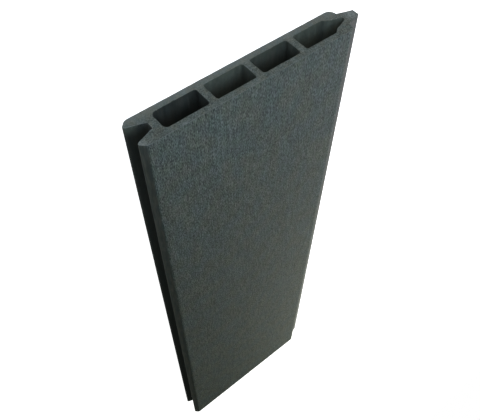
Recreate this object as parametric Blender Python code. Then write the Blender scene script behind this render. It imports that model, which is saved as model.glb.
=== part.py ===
"""A hollow composite fence board, extruded with a tongue along one edge and a groove along the other.

The board lies flat. X runs across it from the groove to the tongue, Y along it and Z through its
thickness. The origin is under its middle, on the underside. All sizes are in metres.
"""

import bmesh
import bpy
import math
from mathutils import Matrix, Vector

# Driving sizes

LENGTH = 0.442                 # the sawn length
THICKNESS = 0.021              # from the underside to the top face
FACE_WALL = 0.00425            # wall between each cell and the face over it

TONGUE_REACH = 0.0100          # how far the tongue stands out of its shoulders
TONGUE_ROOT_HEIGHT = 0.0115    # the tongue's height where it leaves the shoulders
TONGUE_TIP_HEIGHT = 0.0048     # the tongue's height at its flat tip
TONGUE_TIP_ROUND = 0.0005
TONGUE_ROOT_ROUND = 0.0004
TONGUE_SKIN = 0.00435          # wall between the tongue's flank and the slot inside it
TONGUE_NOSE = 0.0095           # least solid length from the end of that slot to the tip
SLOT_END_HEIGHT = 0.0020       # least height of the slot's end

SIDE_CLEARANCE = 0.0002        # gap over and under a tongue that sits in its groove
END_CLEARANCE = 0.0010         # gap ahead of that tongue

WEB = 0.0048                   # wall between the groove's floor and the first cell
RIB = 0.0046                   # wall between two cells
CELL_WIDTHS = (0.0269, 0.0255, 0.0255)
LAST_CELL_WIDTH = 0.0217       # the full-height stretch of the cell beside the tongue
SHOULDER_WALL = 0.0108         # from that stretch to the shoulder faces

CELL_ROUND = 0.0015
FIRST_CELL_ROUND = 0.0026      # the first cell's two corners beside the web
SLOPE_ROUND = 0.0012           # where the last cell narrows towards the tongue

SHOULDER_ROUND = 0.0043        # outer corners beside the tongue
LIP_BEVEL_WIDTH = 0.0031       # bevel on the outside of each groove lip, measured across the board
LIP_BEVEL_HEIGHT = 0.0031      # the same bevel, measured through the thickness
LIP_FACE_ROUND = 0.0035        # where that bevel meets the face
LIP_TIP_ROUND = 0.0008         # where it meets the lip's end
MOUTH_ROUND = 0.0016           # inner corner of each lip, at the groove's mouth
GROOVE_FLOOR_ROUND = 0.0005

ARC_STEP = math.radians(10.0)  # the angle that one straight piece of a rounding spans
BEVEL_SHARE = 0.75             # the most of a thin lip's end that its bevel may take
SHARP_ANGLE = math.radians(25.0)
WELD_DISTANCE = 0.000001

# Sizes that follow

groove_depth = TONGUE_REACH + END_CLEARANCE
cells_start = groove_depth + WEB
last_cell_start = cells_start + sum(CELL_WIDTHS) + RIB * len(CELL_WIDTHS)
last_cell_end = last_cell_start + LAST_CELL_WIDTH
cover_width = last_cell_end + SHOULDER_WALL
overall_width = cover_width + TONGUE_REACH
middle = THICKNESS / 2
cell_half = middle - FACE_WALL
flank_slope = (TONGUE_ROOT_HEIGHT - TONGUE_TIP_HEIGHT) / 2 / TONGUE_REACH
skin_height = TONGUE_SKIN * math.hypot(1.0, flank_slope)


def flank_half(across):
    """Half the tongue's height at a place across the board, its slope carried on past both ends."""
    return TONGUE_ROOT_HEIGHT / 2 - flank_slope * (across - cover_width)


def slot_half(across):
    """Half the height of the slot that keeps the tongue's skin an even thickness."""
    return flank_half(across) - skin_height


def mirrored(upper):
    """An outline from its upper half, given from one crossing of the middle plane to the other."""
    lower = [(across, 2 * middle - up, radius) for across, up, radius in reversed(upper)]
    return upper + lower


def rounded(corners):
    """The points of a closed outline whose corners are (across, up, radius).

    Where two roundings would need more than the side between them, both shrink to share it.
    """
    count = len(corners)
    places = [Vector(corner[:2]) for corner in corners]
    sides = [places[(i + 1) % count] - places[i] for i in range(count)]
    turns = []
    reaches = []
    for i in range(count):
        arriving = sides[i - 1].normalized()
        leaving = sides[i].normalized()
        turn = math.atan2(arriving.cross(leaving), arriving.dot(leaving))
        turns.append(turn)
        reaches.append(corners[i][2] * math.tan(abs(turn) / 2))
    room = []
    for i in range(count):
        wanted = reaches[i] + reaches[(i + 1) % count]
        room.append(min(1.0, sides[i].length / wanted) if wanted > 0.0 else 1.0)
    points = []
    for i in range(count):
        reach = reaches[i] * min(room[i - 1], room[i])
        arriving = sides[i - 1].normalized()
        start = places[i] - arriving * reach
        steps = max(1, math.ceil(abs(turns[i]) / ARC_STEP))
        if reach < WELD_DISTANCE:
            points.append(places[i])
            continue
        radius = reach / math.tan(turns[i] / 2)
        centre = start + Vector((-arriving.y, arriving.x)) * radius
        for step in range(steps + 1):
            swing = Matrix.Rotation(turns[i] * step / steps, 2)
            point = centre + swing @ (start - centre)
            if not points or (point - points[-1]).length > WELD_DISTANCE:
                points.append(point)
    if (points[0] - points[-1]).length < WELD_DISTANCE:
        points.pop()
    return points


def board_outline():
    """The outside of the section, from the tongue's tip over the top face to the groove and back."""
    mouth_half = flank_half(cover_width) + SIDE_CLEARANCE
    floor_half = flank_half(cover_width + groove_depth) + SIDE_CLEARANCE
    lip_end = middle - mouth_half
    bevel_height = min(LIP_BEVEL_HEIGHT, BEVEL_SHARE * lip_end)
    upper = [
        (overall_width, middle + TONGUE_TIP_HEIGHT / 2, TONGUE_TIP_ROUND),
        (cover_width, middle + TONGUE_ROOT_HEIGHT / 2, TONGUE_ROOT_ROUND),
        (cover_width, THICKNESS, SHOULDER_ROUND),
        (LIP_BEVEL_WIDTH, THICKNESS, LIP_FACE_ROUND),
        (0.0, THICKNESS - bevel_height, LIP_TIP_ROUND),
        (0.0, middle + mouth_half, MOUTH_ROUND),
        (groove_depth, middle + floor_half, GROOVE_FLOOR_ROUND),
    ]
    return rounded(mirrored(upper))


def cell_outline(start, width, start_round):
    """One plain cell, with the roundings nearest the groove given by themselves."""
    upper = [
        (start + width, middle + cell_half, CELL_ROUND),
        (start, middle + cell_half, start_round),
    ]
    return rounded(mirrored(upper))


def last_cell_outline():
    """The cell beside the tongue, which drops at 45 degrees on both sides into the tongue's slot."""
    end_half = SLOT_END_HEIGHT / 2
    narrow_end = cover_width + (TONGUE_ROOT_HEIGHT / 2 - skin_height - end_half) / flank_slope
    slot_end = min(overall_width - TONGUE_NOSE, narrow_end)
    slot_end = max(slot_end, last_cell_end + cell_half - end_half)
    end_half = max(slot_half(slot_end), end_half)
    upper = [(slot_end, middle + end_half, end_half)]

    drop = (cell_half - slot_half(last_cell_end)) / (1.0 - flank_slope)
    if drop > 0.0:
        slot_start = last_cell_end + drop
        if slot_start < slot_end:
            upper.append((slot_start, middle + cell_half - drop, SLOPE_ROUND))
        upper.append((last_cell_end, middle + cell_half, SLOPE_ROUND))
    else:
        roof_end = last_cell_end + (slot_half(last_cell_end) - cell_half) / flank_slope
        upper.append((roof_end, middle + cell_half, SLOPE_ROUND))
    upper.append((last_cell_start, middle + cell_half, CELL_ROUND))
    return rounded(mirrored(upper))


def section_outlines():
    """The board's outside, followed by its cells."""
    outlines = [board_outline()]
    start = cells_start
    start_round = FIRST_CELL_ROUND
    for width in CELL_WIDTHS:
        outlines.append(cell_outline(start, width, start_round))
        start += width + RIB
        start_round = CELL_ROUND
    outlines.append(last_cell_outline())
    return outlines


def section_curve(collection):
    """The section as a flat curve with holes, pushed out to the board's length and laid down."""
    curve = bpy.data.curves.new("section", "CURVE")
    curve.dimensions = "2D"
    curve.fill_mode = "BOTH"
    curve.extrude = LENGTH / 2
    for outline in section_outlines():
        spline = curve.splines.new("POLY")
        spline.points.add(len(outline) - 1)
        for target, point in zip(spline.points, outline):
            target.co = (point.x - overall_width / 2, point.y, 0.0, 1.0)
        spline.use_cyclic_u = True
    section = bpy.data.objects.new("section", curve)
    collection.objects.link(section)
    section.rotation_euler = (math.radians(90.0), 0.0, 0.0)
    bpy.context.view_layer.update()
    return section


def solid_from_curve(section, name, collection):
    """A closed mesh of the extruded curve, its caps welded to its sides and its roundings smooth."""
    evaluated = section.evaluated_get(bpy.context.evaluated_depsgraph_get())
    mesh = bpy.data.meshes.new_from_object(evaluated)
    solid = bpy.data.objects.new(name, mesh)
    collection.objects.link(solid)
    solid.matrix_world = section.matrix_world.copy()
    bpy.data.objects.remove(section)

    work = bmesh.new()
    work.from_mesh(mesh)
    bmesh.ops.remove_doubles(work, verts=work.verts, dist=WELD_DISTANCE)
    bmesh.ops.recalc_face_normals(work, faces=work.faces)
    work.to_mesh(mesh)
    work.free()
    mesh.shade_smooth()
    mesh.set_sharp_from_angle(angle=SHARP_ANGLE)
    return solid


def composite_material():
    """Charcoal wood-filled plastic, dull all over."""
    material = bpy.data.materials.new("charcoal_composite")
    material.use_nodes = True
    shader = material.node_tree.nodes["Principled BSDF"]
    shader.inputs["Base Color"].default_value = (0.075, 0.083, 0.082, 1.0)
    shader.inputs["Roughness"].default_value = 0.72
    shader.inputs["Metallic"].default_value = 0.0
    return material


def main():
    for item in list(bpy.data.objects):
        bpy.data.objects.remove(item)
    collection = bpy.data.collections.new("composite_fence_board")
    bpy.context.scene.collection.children.link(collection)
    section = section_curve(collection)
    board = solid_from_curve(section, "fence_board", collection)
    board.data.materials.clear()
    board.data.materials.append(composite_material())


main()
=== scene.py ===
import bmesh
import bpy
import math
import numpy as np
from mathutils import Matrix, Vector
from mathutils.geometry import delaunay_2d_cdt


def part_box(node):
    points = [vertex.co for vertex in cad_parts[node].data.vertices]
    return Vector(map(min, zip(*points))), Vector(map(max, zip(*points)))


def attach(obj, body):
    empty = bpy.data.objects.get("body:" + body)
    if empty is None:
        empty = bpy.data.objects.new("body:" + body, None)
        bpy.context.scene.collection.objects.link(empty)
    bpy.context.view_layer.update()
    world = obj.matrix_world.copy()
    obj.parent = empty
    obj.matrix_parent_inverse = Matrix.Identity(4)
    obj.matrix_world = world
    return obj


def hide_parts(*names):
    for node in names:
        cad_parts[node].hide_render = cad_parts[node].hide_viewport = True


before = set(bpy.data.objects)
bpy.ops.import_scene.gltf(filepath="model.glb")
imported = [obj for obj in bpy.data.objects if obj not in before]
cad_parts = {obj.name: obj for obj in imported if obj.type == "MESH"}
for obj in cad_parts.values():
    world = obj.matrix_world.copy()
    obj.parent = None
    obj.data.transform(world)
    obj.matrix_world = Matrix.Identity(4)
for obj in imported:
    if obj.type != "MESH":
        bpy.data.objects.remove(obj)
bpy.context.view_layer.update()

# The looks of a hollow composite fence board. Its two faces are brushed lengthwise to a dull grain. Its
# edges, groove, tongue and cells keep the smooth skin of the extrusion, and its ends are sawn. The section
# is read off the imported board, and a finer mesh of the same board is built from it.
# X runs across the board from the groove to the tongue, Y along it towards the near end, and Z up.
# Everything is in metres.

MM = 0.001
SEED = 21                       # of the outside, and one more for each cell from the groove on
END_SEED = 61                   # one more for the near end and one less for the far end

# The board, as packed

NODE = "fence_board"
LOW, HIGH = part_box(NODE)
HALF_LENGTH = (HIGH.y - LOW.y) / 2
WELD = 0.002 * MM

# Steps of the mesh

TOP_STEP = 0.60 * MM            # across the top face
UNDERSIDE_STEP = 0.85 * MM      # across the underside
EDGE_STEP = 0.90 * MM           # round the groove, the bevels and the tongue
CELL_STEP = 0.80 * MM           # round each cell
LEAST_STEP = 0.22 * MM          # the outline's own points are thinned to this in tight roundings
STRAIGHT = 0.60 * MM            # a stretch longer than this is straight, and keeps both its ends
ROW_STEP = 3.40 * MM            # along the outside
CELL_ROW_STEP = 13.0 * MM       # along a cell
SAWN_STEP = 0.52 * MM           # over a sawn end
SAWN_MARGIN = 0.55              # share of that step kept clear along the rims
SAWN_SCATTER = 0.22             # share of it by which the points there are moved either way
SHARP_ANGLE = math.radians(32.0)
TRIANGLES_WITHIN = 1            # how the net of a sawn end is asked for: triangles within its rims
SAWN_SLOT = 1                   # material slots, after the one of the long surfaces
FIBRE_SLOT = 2

# Relief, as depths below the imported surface

BRUSH_DEPTH = 0.055 * MM        # mean depth of the brushed grain
BRUSH_FINE = 0.010 * MM         # spread of the single scratches
BRUSH_FINE_RUN = (1.6, 0.45)    # how far one runs, in rows along the board and columns across it
BRUSH_BROAD = 0.007 * MM        # spread of the bands that the brush leaves
BRUSH_BROAD_RUN = (5.0, 2.2)
SHOULDER_START = 0.29           # the brushing fades out over the rounding beside the tongue between
SHOULDER_BRUSHED = 0.40         # these heights, as shares of the thickness from its middle
LIP_START = 0.474               # and over the one beside the bevel between these
LIP_BRUSHED = 0.494
GROOVE_EDGE = 0.32              # half the groove's mouth, as a share of the thickness
GROOVE_EDGE_FADE = 0.02         # its skin comes in over this much on either side of that
GROOVE_REACH = 12.0 * MM        # its depth and a little more
DIE_DEPTH = 0.010 * MM          # mean depth and spread of the lines that the die leaves
DIE_SPREAD = 0.004 * MM
DIE_RUN = (0.0, 0.8)
RIM_INSET = 0.13 * MM           # wear of a sawn edge, across the section and along the board
RIM_DEPTH = 0.20 * MM
RIM_SPREAD = 0.035 * MM
RIM_RUN = (0.0, 1.4)
SAWN_DEPTH = 0.045 * MM         # mean depth of the sawn texture
SAWN_SPREAD = 0.014 * MM
SAW_RADIUS = 0.150              # the saw's teeth leave arcs round its axis, which lies off the board
SAW_AXIS_X = 0.3 * SAW_RADIUS
SAW_AXIS_Z = -0.95 * SAW_RADIUS
SAW_PITCH = 2.10 * MM           # spacing and height of the broad arcs, which are in the mesh
SAW_WAVE = 0.008 * MM
FINE_SAW_PITCH = 0.62 * MM      # spacing of the fine ones, which are in the material
FINE_SAW_WANDER = 1.4           # by which they wander, in radians
FIBRE_HEIGHT = 0.38             # of a torn fibre, and its width, as shares of its length
FIBRE_WIDTH = 0.45
FIBRE_UNEVEN = (0.75, 1.15)     # its corners lie between these shares of its size

# Finish

GLOSS = 0.20                            # specular level of the dull composite
CELL_DUST = (0.14, 0.86, 0.54, 0.94)    # the pale film of sawing dust in each cell, from the groove on, which also paints the light falling in near the ends
CELL_DUST_REACH = 26.0 * MM             # how far from a sawn end it lies
CELL_SIDE_LOSS = 0.45                   # the share of it that the cell's two sides lack, which paints shade on them
CELL_SHADE = (0.80, 0.55, 0.45, 0.10)   # painted shade on the skin of each cell, from the groove on
CELL_SIDE_SHADE = 0.5                   # the share of the rest by which its two sides get more painted shade
GROOVE_DUST = 0.75                      # the same film in the groove: sawing dust, and painted light near its mouth
GROOVE_DUST_REACH = 7.0 * MM
GROOVE_DUST_DEPTH = 8.0 * MM            # it ends at this depth from the mouth
GROOVE_DUST_FULL = GROOVE_DUST_DEPTH / 3    # and is whole down to this one
RIM_WEAR = 0.7                          # how pale the outside's rims are rubbed, which also paints a highlight along them

# Colours, as linear red, green and blue

GRAIN_DARK = (0.0240, 0.0300, 0.0262)   # the brushed grain, from its furrows to its ridges
GRAIN_PALE = (0.146, 0.178, 0.156)
GRAIN_POINT = (0.26, 0.28, 0.28)        # single pale points in it
SKIN_DARK = (0.0225, 0.0285, 0.0260)    # the smooth skin, along the lines of the die
SKIN_PALE = (0.0395, 0.0470, 0.0425)
SKIN_SMEAR = (0.104, 0.093, 0.074)      # brownish smears on it
SKIN_SHELTERED = (0.0140, 0.0166, 0.0160)   # painted shade on the skin in the groove and the cells
FILM = (0.113, 0.131, 0.103)            # the pale film of sawing dust there, which also paints the light falling in near the ends
SAWN_DARK = (0.0165, 0.0202, 0.0175)    # the sawn texture
SAWN_PALE = (0.175, 0.196, 0.168)
SAWN_BURNISHED = (0.155, 0.172, 0.154)  # its lower strip, which is paler towards the underside
SAWN_POINT = (0.26, 0.27, 0.25)
RUBBED = (0.22, 0.245, 0.24)            # worn rims and scuffs, and painted highlights along the rims, on the groove lip's tip and over the tongue's end
FIBRE_DARK = (0.16, 0.165, 0.15)
FIBRE_PALE = (0.42, 0.42, 0.38)

# Casts that a colour wanders between, as factors on it

BROAD_CASTS = ((1.05, 1.0, 0.94), (0.95, 1.0, 1.06))
NARROW_CASTS = ((1.035, 0.99, 1.035), (0.965, 1.01, 0.965))
SKIN_CASTS = ((1.06, 1.0, 0.93), (0.95, 1.0, 1.05))
SAWN_CASTS = ((1.05, 1.0, 0.96), (0.96, 1.0, 1.04))

# How much each mark changes the colour under it, from 0 to 1

POINT_SHARE = 0.35
SMEAR_SHARE = 0.38
# the most that the painted shade in the groove and the cells darkens the skin
SHELTER_SHARE = 0.80
FILM_SHARES = (0.55, 0.80)              # of that film of dust and painted light, from its thin to its thick patches
RIM_RUB_SHARES = (0.0, 0.42)            # on the flecks of the grain, from their low to their high
SAWN_RUB_SHARES = (0.38, 0.70)
BURNISH_SHARE = 0.55
BURNISH_START = 8.5 * MM                # above the underside, and where it is whole
BURNISH_FULL = 2.0 * MM

# Contrast of the grain, as the power it is raised to

GRAIN_POWER = 1.6
SAWN_POWER = 1.4
RIM_RUB_POWER = 3.0

# Depth of the relief that the materials add

BRUSHED_RELIEF = 0.06 * MM
GRIT_RELIEF = 0.012 * MM
CRUMB_RELIEF = 0.06 * MM
ARC_RELIEF = 0.018 * MM
DUST_RELIEF = 0.02 * MM
THREAD_RELIEF = 0.02 * MM

# Roughness of each surface, from its lowest to its highest

GRAIN_ROUGHNESS = (0.74, 0.88)
SKIN_ROUGHNESS = (0.62, 0.74)
SAWN_ROUGHNESS = (0.76, 0.90)
FIBRE_ROUGHNESS = (0.8, 0.95)

# Small damage on the sawn ends: across the board, up, radius, depth

NEAR_CHIPS = (
    (-2.2 * MM, 14.0 * MM, 1.3 * MM, 0.55 * MM),
    (-46.0 * MM, 4.3 * MM, 0.8 * MM, 0.45 * MM),
    (-52.0 * MM, 4.3 * MM, 0.6 * MM, 0.40 * MM),
    (-58.6 * MM, 7.4 * MM, 0.7 * MM, 0.40 * MM),
    (-52.5 * MM, 16.8 * MM, 1.1 * MM, 0.20 * MM),
    (21.0 * MM, 16.8 * MM, 0.8 * MM, 0.24 * MM),
    (57.2 * MM, 14.9 * MM, 0.6 * MM, 0.30 * MM),
    (-70.6 * MM, 20.9 * MM, 0.8 * MM, 0.18 * MM),
)
FAR_CHIPS = (
    (-36.0 * MM, 16.8 * MM, 0.9 * MM, 0.28 * MM),
    (9.5 * MM, 4.2 * MM, 0.8 * MM, 0.30 * MM),
    (48.0 * MM, 21.0 * MM, 1.2 * MM, 0.20 * MM),
    (-66.0 * MM, 13.2 * MM, 0.6 * MM, 0.25 * MM),
)

# Pale scuffs on the sawn ends. On the near end the first is a painted highlight on the groove lip's tip
# and the second is painted light over the tongue's end: across the board, up, radius, strength

NEAR_SCUFFS = (
    (-73.6 * MM, 18.0 * MM, 2.6 * MM, 0.9),
    (71.6 * MM, 10.5 * MM, 4.8 * MM, 0.8),
    (-1.7 * MM, 12.6 * MM, 0.8 * MM, 1.0),
    (-1.8 * MM, 10.2 * MM, 0.7 * MM, 0.8),
    (-1.8 * MM, 8.0 * MM, 0.6 * MM, 0.6),
    (-50.0 * MM, 20.4 * MM, 1.3 * MM, 0.7),
    (-8.0 * MM, 20.5 * MM, 1.1 * MM, 0.5),
    (-38.0 * MM, 0.8 * MM, 2.2 * MM, 0.35),
    (31.0 * MM, 1.2 * MM, 2.4 * MM, 0.35),
)
FAR_SCUFFS = (
    (72.6 * MM, 10.5 * MM, 2.4 * MM, 0.6),
    (-72.0 * MM, 3.0 * MM, 2.2 * MM, 0.5),
    (20.0 * MM, 20.2 * MM, 1.6 * MM, 0.6),
)

# Fibres that the saw left standing on them: across the board, up, size

NEAR_FIBRES = (
    (62.2 * MM, 7.9 * MM, 0.42 * MM),
    (59.2 * MM, 7.1 * MM, 0.30 * MM),
    (27.2 * MM, 1.5 * MM, 0.24 * MM),
    (28.9 * MM, 2.7 * MM, 0.24 * MM),
    (-55.8 * MM, 4.1 * MM, 0.22 * MM),
)
FAR_FIBRES = (
    (-31.6 * MM, 9.0 * MM, 0.30 * MM),
    (15.0 * MM, 17.2 * MM, 0.26 * MM),
    (55.0 * MM, 6.2 * MM, 0.34 * MM),
)

# Camera, at the photograph's viewing angle

CAMERA_PLACE = Vector((-0.1499, 0.4277, 0.1862))
CAMERA_AIM = Vector((-0.01647, 0.11841, 0.021))
CAMERA_ROLL = math.radians(135.95)
CAMERA_LENS = 43.606
SENSOR_WIDTH = 36.0
CAMERA_NEAR = 0.01

# Stage

WHITE = (1.0, 1.0, 1.0, 1.0)
FLOOR_SIZE = 60.0
FLOOR_DROP = 0.1 * MM           # below the board
FLOOR_TONE = (0.90, 0.90, 0.90, 1.0)
FLOOR_ROUGHNESS = 0.9
FLOOR_GLOW = 0.12               # the light that the floor gives off, of the white that the camera sees
AMBIENT = 0.02

# Lights: name, place, aim, width, height, power in watts, colour

LIGHTS = (
    ("before_end", (-0.2745, 0.8097, 0.3855), (0.0, 0.221, 0.01), 0.30, 0.30, 1.32, (0.94, 0.98, 1.0)),
    ("near_low", (0.30, 0.62, 0.12), (0.02, 0.22, 0.01), 0.40, 0.14, 0.54, (1.0, 0.93, 0.87)),
    ("over_near_end", (-0.04, 0.30, 0.15), (-0.03, 0.18, 0.02), 0.25, 0.08, 0.20, (0.64, 0.80, 1.0)),
    ("tongue_side", (0.35, 0.05, 0.16), (0.03, 0.05, 0.02), 0.40, 0.10, 1.30, (0.94, 0.95, 1.0)),
    ("far_corner", (0.30, -0.45, 0.15), (0.03, -0.20, 0.02), 0.30, 0.12, 1.24, (0.975, 0.99, 0.84)),
    ("groove_side", (-0.80, -0.32, 0.25), (0.0, -0.14, 0.02), 0.80, 0.30, 1.55, (0.89, 1.0, 0.84)),
)


def tracing(edges):
    """The closed loops that a set of edges makes, each as a list of vertices."""
    beside = {}
    for edge in edges:
        for vertex in edge.verts:
            beside.setdefault(vertex, []).append(edge.other_vert(vertex))
    waiting = dict.fromkeys(beside)
    loops = []
    while waiting:
        first = next(iter(waiting))
        loop = [first]
        del waiting[first]
        before, current = None, first
        while True:
            onward = next(v for v in beside[current] if v is not before)
            if onward is first:
                break
            loop.append(onward)
            del waiting[onward]
            before, current = current, onward
        loops.append(loop)
    return loops


def signed_area(loop):
    """A loop's area, which is negative where the loop runs clockwise."""
    after = np.roll(loop, -1, axis=0)
    return float(np.sum(loop[:, 0] * after[:, 1] - after[:, 0] * loop[:, 1])) / 2


def section_loops(node):
    """The outlines of the board's end as (x, z) points: the outside, then the cells from the groove on.

    The material is on the left of every loop, so the outside runs anticlockwise and a cell clockwise.
    """
    work = bmesh.new()
    work.from_mesh(node.data)
    bmesh.ops.remove_doubles(work, verts=work.verts, dist=WELD)
    at_end = {v for v in work.verts if v.co.y > HIGH.y - WELD}
    end_faces = {f for f in work.faces if at_end.issuperset(f.verts)}
    rims = [
        edge
        for edge in work.edges
        if at_end.issuperset(edge.verts) and not end_faces.issuperset(edge.link_faces)
    ]
    loops = [np.array([(v.co.x, v.co.z) for v in loop]) for loop in tracing(rims)]
    work.free()
    loops.sort(key=lambda loop: -abs(signed_area(loop)))
    outside, cells = loops[0], loops[1:]
    cells.sort(key=lambda loop: loop[:, 0].min())
    if signed_area(outside) < 0.0:
        outside = outside[::-1]
    cells = [loop[::-1] if signed_area(loop) > 0.0 else loop for loop in cells]
    return [outside] + cells


def outside_step(point):
    """The step round the outside, which is finest on the top face."""
    if point[1] > HIGH.z - WELD:
        return TOP_STEP
    if point[1] < LOW.z + WELD:
        return UNDERSIDE_STEP
    return EDGE_STEP


def refined(loop, step_at):
    """A loop with its crowded points thinned and its straight stretches divided."""
    lengths = np.linalg.norm(np.roll(loop, -1, axis=0) - loop, axis=1)
    first = int(lengths.argmax())
    loop = np.roll(loop, -first, axis=0)
    lengths = np.roll(lengths, -first)
    kept = []
    for i, point in enumerate(loop):
        beside_straight = lengths[i] > STRAIGHT or lengths[i - 1] > STRAIGHT
        if beside_straight or np.linalg.norm(point - kept[-1]) >= LEAST_STEP:
            kept.append(point)
    points = []
    for i, start in enumerate(kept):
        end = kept[(i + 1) % len(kept)]
        parts = max(1, round(float(np.linalg.norm(end - start)) / step_at((start + end) / 2)))
        points.extend(start + (end - start) * k / parts for k in range(parts))
    return np.array(points)


def outward(loop):
    """Unit normals at a loop's points, pointing out of the material."""
    ahead = np.roll(loop, -1, axis=0) - loop
    ahead /= np.linalg.norm(ahead, axis=1, keepdims=True)
    facing = np.stack([ahead[:, 1], -ahead[:, 0]], axis=1)
    normals = facing + np.roll(facing, 1, axis=0)
    return normals / np.linalg.norm(normals, axis=1, keepdims=True)


def blurred_noise(rng, rows, columns, run):
    """Random heights of unit spread, blurred over a run of rows and columns and wrapped at the edges."""
    row_waves = np.fft.fftfreq(rows)[:, None] * run[0]
    column_waves = np.fft.fftfreq(columns)[None, :] * run[1]
    blur = np.exp(-2 * math.pi**2 * (row_waves**2 + column_waves**2))
    field = np.fft.ifft2(np.fft.fft2(rng.standard_normal((rows, columns))) * blur).real
    return field / field.std()


def smoothstep(low, high, value):
    """0 at low and 1 at high, with a soft start and end between them."""
    share = np.clip((value - low) / (high - low), 0.0, 1.0)
    return share * share * (3.0 - 2.0 * share)


def stations(step):
    """Places along the board: both ends, the worn edge behind each, and even steps between."""
    inner = HALF_LENGTH - RIM_DEPTH
    count = round(2 * inner / step)
    return np.concatenate([[-HALF_LENGTH], np.linspace(-inner, inner, count + 1), [HALF_LENGTH]])


def from_middle(loop):
    """How far each point is above or below the board's middle, as a share of its thickness."""
    return np.abs(loop[:, 1] - (LOW.z + HIGH.z) / 2) / (HIGH.z - LOW.z)


def brushed_share(loop):
    """1 on both faces, fading out over their rounded edges, and 0 elsewhere."""
    beside_tongue = smoothstep(SHOULDER_START, SHOULDER_BRUSHED, from_middle(loop))
    beside_bevel = smoothstep(LIP_START, LIP_BRUSHED, from_middle(loop))
    return np.where(loop[:, 0] > 0.0, beside_tongue, beside_bevel)


def groove_share(loop):
    """1 in the groove and 0 on the rest of the outside."""
    outer, inner = GROOVE_EDGE + GROOVE_EDGE_FADE, GROOVE_EDGE - GROOVE_EDGE_FADE
    inside_mouth = smoothstep(outer, inner, from_middle(loop))
    return inside_mouth * (loop[:, 0] < LOW.x + GROOVE_REACH)


def groove_dust(loop):
    """The film of sawing dust and painted light in the groove, which thins out towards its floor."""
    near_mouth = smoothstep(LOW.x + GROOVE_DUST_DEPTH, LOW.x + GROOVE_DUST_FULL, loop[:, 0])
    return GROOVE_DUST * groove_share(loop) * near_mouth


def cell_dust(loop, amount):
    """The film of sawing dust and painted light in a cell, thinner on its two sides than on its roof and
    floor, which paints shade on the sides.
    """
    return amount * (1.0 - CELL_SIDE_LOSS * np.abs(outward(loop)[:, 0]))


def cell_shade(loop, amount):
    """How much painted shade a cell's skin gets, which is most on its two sides."""
    return amount + CELL_SIDE_SHADE * (1.0 - amount) * np.abs(outward(loop)[:, 0])


def relief_depth(rng, rows, share):
    """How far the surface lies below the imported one, at each row and column."""
    columns = len(share)
    fine = BRUSH_FINE * blurred_noise(rng, rows, columns, BRUSH_FINE_RUN)
    broad = BRUSH_BROAD * blurred_noise(rng, rows, columns, BRUSH_BROAD_RUN)
    brushed = np.maximum(BRUSH_DEPTH + fine + broad, 0.0)
    lines = np.maximum(DIE_DEPTH + DIE_SPREAD * blurred_noise(rng, 1, columns, DIE_RUN), 0.0)
    return share * brushed + (1.0 - share) * lines


def fading(points, across, up, radius):
    """1 at a place on the end, fading out round it."""
    distance = np.hypot(points[:, 0] - across, points[:, 1] - up)
    return np.exp(-((distance / radius) ** 2))


def rim_depths(rng, points, chips):
    """Wear of one sawn rim: how far each of its points is set into the material."""
    wear = RIM_INSET + RIM_SPREAD * blurred_noise(rng, 1, len(points), RIM_RUN)[0]
    wear = np.maximum(wear, RIM_INSET / 2)
    for across, up, radius, depth in chips:
        wear += depth * fading(points, across, up, radius)
    return wear


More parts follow.
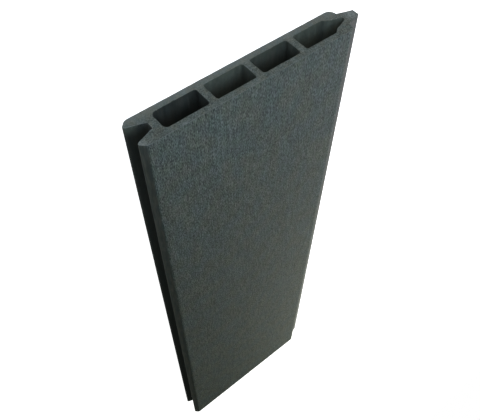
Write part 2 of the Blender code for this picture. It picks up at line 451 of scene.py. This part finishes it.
class Shell:
    """The board's mesh while it is put together: points, faces, and how each point is finished."""

    def __init__(self):
        self.points = []
        # For each point: how brushed it is, its sawing dust with painted light and how far from the end
        # that reaches, its painted shade, and its rim wear and scuffs with their painted highlights.
        self.finish = {"brushed": [], "dusty": [], "dust_reach": [], "sheltered": [], "worn": []}
        self.faces = []
        self.sawn_faces = set()
        self.fibre_faces = set()
        self.rims = {-1: [], 1: []}

    def add_points(self, points, **finish):
        """More points, with one number for each or for all of them as each part of their finish."""
        start = len(self.points)
        self.points.extend(map(tuple, points))
        for name, numbers in self.finish.items():
            numbers.extend(np.broadcast_to(finish.get(name, 0.0), len(points)))
        return start

    def add_wall(self, rng, loop, step, share, worn=0.0, **finish):
        """One loop of the section carried along the board, with its relief and its worn rims, whose wear
        also paints a highlight.
        """
        places = stations(step)
        rows, columns = len(places), len(loop)
        normals = outward(loop)
        depth = relief_depth(rng, rows, share)
        depth[0] += rim_depths(rng, loop, FAR_CHIPS)
        depth[-1] += rim_depths(rng, loop, NEAR_CHIPS)
        flat = loop[None, :, :] - normals[None, :, :] * depth[:, :, None]
        along = np.repeat(places[:, None], columns, axis=1)
        points = np.stack([flat[:, :, 0], along, flat[:, :, 1]], axis=2)
        # The rows at each end carry the rim wear, which also paints a highlight along the rims.
        at_rim = np.zeros((rows, columns))
        at_rim[[0, 1, -2, -1]] = worn
        tiled = {name: np.tile(np.broadcast_to(v, columns), rows) for name, v in finish.items()}
        start = self.add_points(
            points.reshape(-1, 3), brushed=np.tile(share, rows), worn=at_rim.ravel(), **tiled
        )
        for row in range(rows - 1):
            for column in range(columns):
                here = start + row * columns + column
                beside = start + row * columns + (column + 1) % columns
                self.faces.append((here, here + columns, beside + columns, beside))
        self.rims[-1].append(range(start, start + columns))
        self.rims[1].append(range(start + (rows - 1) * columns, start + rows * columns))

    def add_end(self, rng, side):
        """A sawn end between the rims: a fine net of triangles with the saw's marks in it."""
        rims = self.rims[side]
        rim_points = [np.array([self.points[i] for i in rim])[:, [0, 2]] for rim in rims]
        inner = sawn_points(rng, rim_points)
        flat = np.concatenate(rim_points + [inner])
        indices = [i for rim in rims for i in rim]
        depth = sawn_depth(rng, inner)
        along = side * (HALF_LENGTH - depth)
        worn = np.zeros(len(inner))
        # Pale scuffs, and on the near end painted light on the groove lip's tip and over the tongue's end.
        for across, up, radius, strength in NEAR_SCUFFS if side > 0 else FAR_SCUFFS:
            worn = np.maximum(worn, strength * fading(inner, across, up, radius))
        start = self.add_points(np.stack([inner[:, 0], along, inner[:, 1]], axis=1), worn=worn)
        indices.extend(range(start, start + len(inner)))
        edges = []
        first = 0
        for rim in rims:
            count = len(rim)
            edges.extend((first + k, first + (k + 1) % count) for k in range(count))
            first += count
        scale = 1.0 / MM
        spread_out = [Vector(point) * scale for point in flat]
        made, _, triangles, sources, _, _ = delaunay_2d_cdt(
            spread_out, edges, [], TRIANGLES_WITHIN, WELD * scale / 10
        )
        centres = np.array([np.mean([made[k] for k in t], axis=0) for t in triangles]) * MM
        solid = inside(centres, rim_points)
        for triangle, keep in zip(triangles, solid):
            if keep:
                corners = [indices[sources[k][0]] for k in triangle]
                self.sawn_faces.add(len(self.faces))
                self.faces.append(tuple(corners if side < 0 else reversed(corners)))

    def add_fibre(self, rng, side, across, up, size):
        """A short torn fibre lying on a sawn end: a small lump with uneven corners."""
        lump = bmesh.new()
        bmesh.ops.create_icosphere(lump, subdivisions=2, radius=1.0)
        lean = Matrix.Rotation(rng.uniform(0.0, math.pi), 3, "Y")
        centre = Vector((across, side * (HALF_LENGTH - SAWN_DEPTH), up))
        points = []
        for vertex in lump.verts:
            shape = Vector((vertex.co.x, vertex.co.y * FIBRE_HEIGHT, vertex.co.z * FIBRE_WIDTH))
            shape *= size * rng.uniform(*FIBRE_UNEVEN)
            points.append(centre + lean @ shape)
        start = self.add_points(points)
        for face in lump.faces:
            self.fibre_faces.add(len(self.faces))
            self.faces.append(tuple(start + v.index for v in face.verts))
        lump.free()

    def finished(self, name, materials):
        """The shell as a Blender object, with its materials: board, sawn ends and fibres."""
        mesh = bpy.data.meshes.new(name)
        mesh.from_pydata(self.points, [], self.faces)
        for material in materials:
            mesh.materials.append(material)
        kinds = np.zeros(len(self.faces), np.int32)
        kinds[list(self.sawn_faces)] = SAWN_SLOT
        kinds[list(self.fibre_faces)] = FIBRE_SLOT
        mesh.polygons.foreach_set("material_index", kinds)
        for part, numbers in self.finish.items():
            attribute = mesh.attributes.new(part, "FLOAT", "POINT")
            attribute.data.foreach_set("value", np.array(numbers, np.float32))
        mesh.shade_smooth()
        mesh.set_sharp_from_angle(angle=SHARP_ANGLE)
        mesh.validate()
        piece = bpy.data.objects.new(name, mesh)
        bpy.context.scene.collection.objects.link(piece)
        return piece


def inside(points, loops):
    """Whether each point is in the material: inside the outside loop and in none of the cells."""
    crossings = np.zeros(len(points), int)
    for loop in loops:
        after = np.roll(loop, -1, axis=0)
        for (x0, z0), (x1, z1) in zip(loop, after):
            spans = (points[:, 1] < z0) != (points[:, 1] < z1)
            if z0 != z1:
                crossing = x0 + (points[:, 1] - z0) * (x1 - x0) / (z1 - z0)
                crossings += spans & (points[:, 0] < crossing)
    return crossings % 2 == 1


def clearance(points, loops):
    """Each point's distance from the nearest loop."""
    nearest = np.full(len(points), np.inf)
    for loop in loops:
        for start, end in zip(loop, np.roll(loop, -1, axis=0)):
            run = end - start
            share = np.clip((points - start) @ run / (run @ run), 0.0, 1.0)
            distance = np.linalg.norm(points - start - share[:, None] * run, axis=1)
            nearest = np.minimum(nearest, distance)
    return nearest


def sawn_points(rng, rims):
    """Points scattered evenly over a sawn end, clear of its rims."""
    low, high = rims[0].min(axis=0), rims[0].max(axis=0)
    row_step = SAWN_STEP * math.sqrt(3.0) / 2
    columns = np.arange(low[0], high[0], SAWN_STEP)
    rows = np.arange(low[1], high[1], row_step)
    grid_x, grid_z = np.meshgrid(columns, rows)
    grid_x[1::2] += SAWN_STEP / 2
    points = np.stack([grid_x.ravel(), grid_z.ravel()], axis=1)
    points += rng.uniform(-SAWN_SCATTER, SAWN_SCATTER, points.shape) * SAWN_STEP
    points = points[inside(points, rims)]
    return points[clearance(points, rims) > SAWN_MARGIN * SAWN_STEP]


def sawn_depth(rng, points):
    """The depth of the sawn texture: the arcs of the saw's teeth and a torn, uneven grain."""
    distance = np.hypot(points[:, 0] - SAW_AXIS_X, points[:, 1] - SAW_AXIS_Z)
    arcs = SAW_WAVE * np.sin(2 * math.pi * distance / SAW_PITCH)
    grain = SAWN_SPREAD * rng.standard_normal(len(points))
    return np.maximum(SAWN_DEPTH + arcs + grain, 0.0)


class Graph:
    """A material's nodes, added one call at a time."""

    def __init__(self, name):
        self.material = bpy.data.materials.new(name)
        self.material.use_nodes = True
        self.tree = self.material.node_tree
        self.shader = self.tree.nodes["Principled BSDF"]
        self.place = self.add("ShaderNodeTexCoord").outputs["Object"]

    def add(self, kind, inputs=(), **settings):
        """One node, with its settings made and its inputs fed."""
        node = self.tree.nodes.new(kind)
        for name, value in settings.items():
            setattr(node, name, value)
        for name, value in dict(inputs).items():
            self.feed(node.inputs[name], value)
        return node

    def feed(self, socket, value):
        """A number, or what another node gives, put into a socket."""
        if isinstance(value, bpy.types.NodeSocket):
            self.tree.links.new(value, socket)
        else:
            socket.default_value = value

    def stretched(self, across, along):
        """The board's own coordinates in steps of a size across the board and another along it."""
        scale = (1.0 / across, 1.0 / along, 1.0 / across)
        mapping = self.add("ShaderNodeMapping", {"Vector": self.place, "Scale": scale})
        return mapping.outputs["Vector"]

    def noise(self, across, along, detail=2.0, roughness=0.5, low=0.0, high=1.0):
        """Noise of a size, with its usual range low..high spread over 0..1."""
        texture = self.add(
            "ShaderNodeTexNoise",
            {
                "Vector": self.stretched(across, along),
                "Scale": 1.0,
                "Detail": detail,
                "Roughness": roughness,
            },
        )
        return self.spread(texture.outputs["Fac"], low, high)

    def spread(self, value, low, high, out_low=0.0, out_high=1.0):
        """A value's range low..high carried to out_low..out_high, and held there beyond it."""
        node = self.add(
            "ShaderNodeMapRange",
            {"Value": value, "From Min": low, "From Max": high, "To Min": out_low, "To Max": out_high},
        )
        return node.outputs["Result"]

    def math(self, operation, first, second=0.0):
        """One calculation with two values, or with the first alone where it takes no second."""
        node = self.add("ShaderNodeMath", {0: first, 1: second}, operation=operation)
        return node.outputs["Value"]

    def product(self, first, second):
        """Two values multiplied."""
        return self.math("MULTIPLY", first, second)

    def mixture(self, *parts):
        """The sum of some values, each times its weight."""
        weighted = [self.product(value, weight) for value, weight in parts]
        total = weighted[0]
        for value in weighted[1:]:
            total = self.math("ADD", total, value)
        return total

    def attribute(self, name):
        """One part of the finish that each point of the mesh carries."""
        return self.add("ShaderNodeAttribute", attribute_name=name).outputs["Fac"]

    def blend(self, share, first, second):
        """One number going over to another by a share."""
        node = self.add("ShaderNodeMix", data_type="FLOAT")
        for socket, value in zip(node.inputs[:4], (share, None, first, second)):
            if value is not None:
                self.feed(socket, value)
        return node.outputs[0]

    def colour(self, share, first, second, how="MIX"):
        """One colour going over to another by a share."""
        node = self.add("ShaderNodeMix", data_type="RGBA", blend_type=how)
        self.feed(node.inputs["Factor"], share)
        sockets = [s for s in node.inputs if s.type == "RGBA"]
        for socket, value in zip(sockets, (first, second)):
            self.feed(socket, value if isinstance(value, bpy.types.NodeSocket) else (*value, 1.0))
        return next(s for s in node.outputs if s.type == "RGBA")

    def tinted(self, colour, across, along, casts):
        """A colour whose cast wanders between two, in patches of a size."""
        cast = self.colour(self.noise(across, along, detail=0.0, low=0.32, high=0.68), *casts)
        return self.colour(1.0, colour, cast, "MULTIPLY")

    def bump(self, height, distance, before=None):
        """Relief of a depth, from a height of 0..1, on top of the relief made before it."""
        node = self.add("ShaderNodeBump", {"Height": height, "Distance": distance, "Strength": 1.0})
        if before is not None:
            self.feed(node.inputs["Normal"], before)
        return node.outputs["Normal"]

    def finish(self, colour, roughness, normal):
        """The material, with its surface set from these."""
        self.feed(self.shader.inputs["Base Color"], colour)
        self.feed(self.shader.inputs["Roughness"], roughness)
        self.feed(self.shader.inputs["Normal"], normal)
        self.shader.inputs["Specular IOR Level"].default_value = GLOSS
        return self.material


def board_material():
    """The long surfaces: brushed and dull on the faces, smooth and darker where only the die worked."""
    graph = Graph("brushed_composite")
    share = graph.attribute("brushed")
    dusty = graph.attribute("dusty")
    sheltered = graph.attribute("sheltered")
    worn = graph.attribute("worn")
    split = graph.add("ShaderNodeSeparateXYZ", {"Vector": graph.place})
    from_end = graph.math("SUBTRACT", HALF_LENGTH, graph.math("ABSOLUTE", split.outputs["Y"]))

    flecks = graph.noise(0.36 * MM, 1.7 * MM, detail=0.0, low=0.36, high=0.64)
    hairs = graph.noise(0.27 * MM, 7.0 * MM, detail=1.0, low=0.37, high=0.63)
    strokes = graph.noise(0.80 * MM, 6.5 * MM, detail=2.0, low=0.34, high=0.66)
    bands = graph.noise(2.8 * MM, 48.0 * MM, detail=2.0, low=0.3, high=0.7)
    clouds = graph.noise(17.0 * MM, 34.0 * MM, detail=2.0, low=0.3, high=0.7)
    grit = graph.noise(0.30 * MM, 0.36 * MM, detail=2.0, low=0.25, high=0.75)
    points = graph.noise(0.60 * MM, 0.95 * MM, detail=1.0, low=0.66, high=0.76)

    grain = graph.mixture((flecks, 0.54), (hairs, 0.36), (strokes, 0.03), (bands, 0.03), (clouds, 0.04))
    grain = graph.math("POWER", grain, GRAIN_POWER)
    brushed = graph.colour(grain, GRAIN_DARK, GRAIN_PALE)
    brushed = graph.tinted(brushed, 9.0 * MM, 15.0 * MM, BROAD_CASTS)
    brushed = graph.tinted(brushed, 4.2 * MM, 8.0 * MM, NARROW_CASTS)
    brushed = graph.colour(graph.product(points, POINT_SHARE), brushed, GRAIN_POINT)

    lines = graph.noise(0.45 * MM, 180.0 * MM, detail=3.0, roughness=0.6, low=0.3, high=0.7)
    smears = graph.noise(1.6 * MM, 11.0 * MM, detail=2.0, low=0.42, high=0.68)
    skin = graph.colour(lines, SKIN_DARK, SKIN_PALE)
    skin = graph.tinted(skin, 3.0 * MM, 9.0 * MM, SKIN_CASTS)
    skin = graph.colour(graph.product(smears, SMEAR_SHARE), skin, SKIN_SMEAR)
    # Painted shade darkens the skin in the groove and the cells.
    skin = graph.colour(graph.product(sheltered, SHELTER_SHARE), skin, SKIN_SHELTERED)

    # A pale film near the sawn ends, in the groove and the cells: sawing dust, and painted light falling
    # in from the ends, fading with depth.
    film = graph.noise(2.2 * MM, 4.0 * MM, detail=3.0, roughness=0.6, low=0.3, high=0.7)
    swept = graph.spread(from_end, 0.0, graph.attribute("dust_reach"), 1.0, 0.0)
    swept = graph.product(dusty, swept)
    film = graph.product(swept, graph.spread(film, 0.0, 1.0, *FILM_SHARES))
    skin = graph.colour(film, skin, FILM)

    colour = graph.colour(share, skin, brushed)
    # The outside's rims are rubbed pale, which also paints a highlight along them.
    rubbed = graph.math("POWER", worn, RIM_RUB_POWER)
    rubbed = graph.product(rubbed, graph.spread(flecks, 0.4, 0.9, *RIM_RUB_SHARES))
    colour = graph.colour(rubbed, colour, RUBBED)
    dull = graph.blend(grit, *GRAIN_ROUGHNESS)
    sleek = graph.blend(lines, *SKIN_ROUGHNESS)
    roughness = graph.blend(share, sleek, dull)

    brushing = graph.mixture((flecks, 0.55), (hairs, 0.35), (strokes, 0.10))
    height = graph.blend(share, graph.product(lines, 0.35), brushing)
    normal = graph.bump(height, BRUSHED_RELIEF)
    normal = graph.bump(grit, GRIT_RELIEF, before=normal)
    return graph.finish(colour, roughness, normal)


def sawn_material():
    """The sawn ends: torn, mottled and a little paler, with the arcs of the saw's teeth across them."""
    graph = Graph("sawn_composite")
    crumbs = graph.noise(0.70 * MM, 0.70 * MM, detail=3.0, roughness=0.62, low=0.36, high=0.64)
    dust = graph.noise(0.36 * MM, 0.36 * MM, detail=2.0, low=0.36, high=0.64)
    patches = graph.noise(5.5 * MM, 5.5 * MM, detail=2.0, low=0.3, high=0.7)
    points = graph.noise(0.60 * MM, 0.60 * MM, detail=1.0, low=0.66, high=0.76)

    split = graph.add("ShaderNodeSeparateXYZ", {"Vector": graph.place})
    from_axis_x = graph.math("SUBTRACT", split.outputs["X"], SAW_AXIS_X)
    from_axis_z = graph.math("SUBTRACT", split.outputs["Z"], SAW_AXIS_Z)
    squares = graph.mixture((from_axis_x, from_axis_x), (from_axis_z, from_axis_z))
    radius = graph.math("SQRT", squares)
    phase = graph.mixture((radius, 2 * math.pi / FINE_SAW_PITCH), (patches, FINE_SAW_WANDER))
    arcs = graph.spread(graph.math("SINE", phase), -1.0, 1.0)

    grain = graph.mixture((crumbs, 0.42), (dust, 0.34), (patches, 0.14), (arcs, 0.10))
    grain = graph.math("POWER", grain, SAWN_POWER)
    colour = graph.colour(grain, SAWN_DARK, SAWN_PALE)
    # The end turns paler towards the underside.
    low, high = LOW.z + BURNISH_FULL, LOW.z + BURNISH_START
    burnish = graph.spread(split.outputs["Z"], low, high, BURNISH_SHARE, 0.0)
    colour = graph.colour(burnish, colour, SAWN_BURNISHED)
    colour = graph.tinted(colour, 3.6 * MM, 3.6 * MM, SAWN_CASTS)
    # Scuffs and worn rims, with painted light on the near end's lip tip and tongue end.
    rubbed = graph.product(graph.attribute("worn"), graph.spread(crumbs, 0.1, 0.9, *SAWN_RUB_SHARES))
    colour = graph.colour(rubbed, colour, RUBBED)
    colour = graph.colour(graph.product(points, POINT_SHARE), colour, SAWN_POINT)
    roughness = graph.blend(dust, *SAWN_ROUGHNESS)
    normal = graph.bump(crumbs, CRUMB_RELIEF)
    normal = graph.bump(arcs, ARC_RELIEF, before=normal)
    normal = graph.bump(dust, DUST_RELIEF, before=normal)
    return graph.finish(colour, roughness, normal)


def fibre_material():
    """Torn fibres, pale where the cut opened them."""
    graph = Graph("torn_fibre")
    threads = graph.noise(0.08 * MM, 0.30 * MM, detail=2.0, low=0.3, high=0.7)
    colour = graph.colour(threads, FIBRE_DARK, FIBRE_PALE)
    roughness = graph.blend(threads, *FIBRE_ROUGHNESS)
    return graph.finish(colour, roughness, graph.bump(threads, THREAD_RELIEF))


def dressed_board():
    """The whole board, as one closed shell with its fibres on the sawn ends."""
    loops = section_loops(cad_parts[NODE])
    outside = refined(loops[0], outside_step)
    shell = Shell()
    rng = np.random.default_rng(SEED)
    shell.add_wall(
        rng,
        outside,
        ROW_STEP,
        brushed_share(outside),
        worn=RIM_WEAR,
        dusty=groove_dust(outside),
        dust_reach=GROOVE_DUST_REACH,
        # the whole groove gets painted shade
        sheltered=groove_share(outside),
    )
    # Each cell has its own amounts of dust with painted light and of painted shade, set to how much light
    # reaches into it.
    for number, (loop, dust, shade) in enumerate(zip(loops[1:], CELL_DUST, CELL_SHADE), start=1):
        cell = refined(loop, lambda point: CELL_STEP)
        rng = np.random.default_rng(SEED + number)
        shell.add_wall(
            rng,
            cell,
            CELL_ROW_STEP,
            np.zeros(len(cell)),
            dusty=cell_dust(cell, dust),
            dust_reach=CELL_DUST_REACH,
            # painted shade in the cell, most on its sides
            sheltered=cell_shade(cell, shade),
        )
    for side, fibres in ((1, NEAR_FIBRES), (-1, FAR_FIBRES)):
        rng = np.random.default_rng(END_SEED + side)
        shell.add_end(rng, side)
        for across, up, size in fibres:
            shell.add_fibre(rng, side, across, up, size)
    return shell.finished("board_surface", [board_material(), sawn_material(), fibre_material()])


def make_floor():
    """A pale floor that the camera sees as plain white, and that gives off a little light."""
    bpy.ops.mesh.primitive_plane_add(size=FLOOR_SIZE, location=(0.0, 0.0, LOW.z - FLOOR_DROP))
    floor = bpy.context.object
    floor.name = "floor"
    material = bpy.data.materials.new("pale_floor")
    material.use_nodes = True
    shader = material.node_tree.nodes["Principled BSDF"]
    shader.inputs["Base Color"].default_value = FLOOR_TONE
    shader.inputs["Roughness"].default_value = FLOOR_ROUGHNESS
    shader.inputs["Emission Color"].default_value = WHITE
    seen = material.node_tree.nodes.new("ShaderNodeLightPath").outputs["Is Camera Ray"]
    glow = material.node_tree.nodes.new("ShaderNodeMapRange")
    glow.inputs["To Min"].default_value = FLOOR_GLOW
    glow.inputs["To Max"].default_value = 1.0
    material.node_tree.links.new(seen, glow.inputs["Value"])
    material.node_tree.links.new(glow.outputs["Result"], shader.inputs["Emission Strength"])
    floor.data.materials.append(material)


def make_world():
    """An even dim light from all round, with plain white behind the floor's far edge."""
    world = bpy.data.worlds.new("studio")
    bpy.context.scene.world = world
    world.use_nodes = True
    tree = world.node_tree
    lighting = tree.nodes["Background"]
    lighting.inputs["Color"].default_value = WHITE
    lighting.inputs["Strength"].default_value = AMBIENT
    backdrop = tree.nodes.new("ShaderNodeBackground")
    backdrop.inputs["Color"].default_value = WHITE
    seen = tree.nodes.new("ShaderNodeLightPath").outputs["Is Camera Ray"]
    mixer = tree.nodes.new("ShaderNodeMixShader")
    tree.links.new(seen, mixer.inputs[0])
    tree.links.new(lighting.outputs[0], mixer.inputs[1])
    tree.links.new(backdrop.outputs[0], mixer.inputs[2])
    tree.links.new(mixer.outputs[0], tree.nodes["World Output"].inputs["Surface"])


def make_lights():
    """Soft area lights round the board, each turned to the place it aims at."""
    for name, place, aim, width, height, power, colour in LIGHTS:
        data = bpy.data.lights.new(name, "AREA")
        data.shape = "RECTANGLE"
        data.size, data.size_y = width, height
        data.energy = power
        data.color = colour
        light = bpy.data.objects.new(name, data)
        light.location = place
        light.rotation_mode = "QUATERNION"
        light.rotation_quaternion = (Vector(aim) - Vector(place)).to_track_quat("-Z", "Y")
        bpy.context.scene.collection.objects.link(light)


def make_camera():
    """The camera, which is also rolled about its own line of sight."""
    data = bpy.data.cameras.new("camera")
    data.sensor_width = SENSOR_WIDTH
    data.lens = CAMERA_LENS
    data.clip_start = CAMERA_NEAR
    data.clip_end = 2 * FLOOR_SIZE
    camera = bpy.data.objects.new("camera", data)
    camera.location = CAMERA_PLACE
    upright = (CAMERA_AIM - CAMERA_PLACE).to_track_quat("-Z", "Y").to_matrix()
    camera.rotation_mode = "QUATERNION"
    camera.rotation_quaternion = (upright @ Matrix.Rotation(CAMERA_ROLL, 3, "Z")).to_quaternion()
    bpy.context.scene.collection.objects.link(camera)
    bpy.context.scene.camera = camera


def main():
    board = dressed_board()
    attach(board, "root")
    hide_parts(NODE)
    make_floor()
    make_world()
    make_lights()
    make_camera()
    bpy.context.scene.view_settings.view_transform = "Standard"


main()
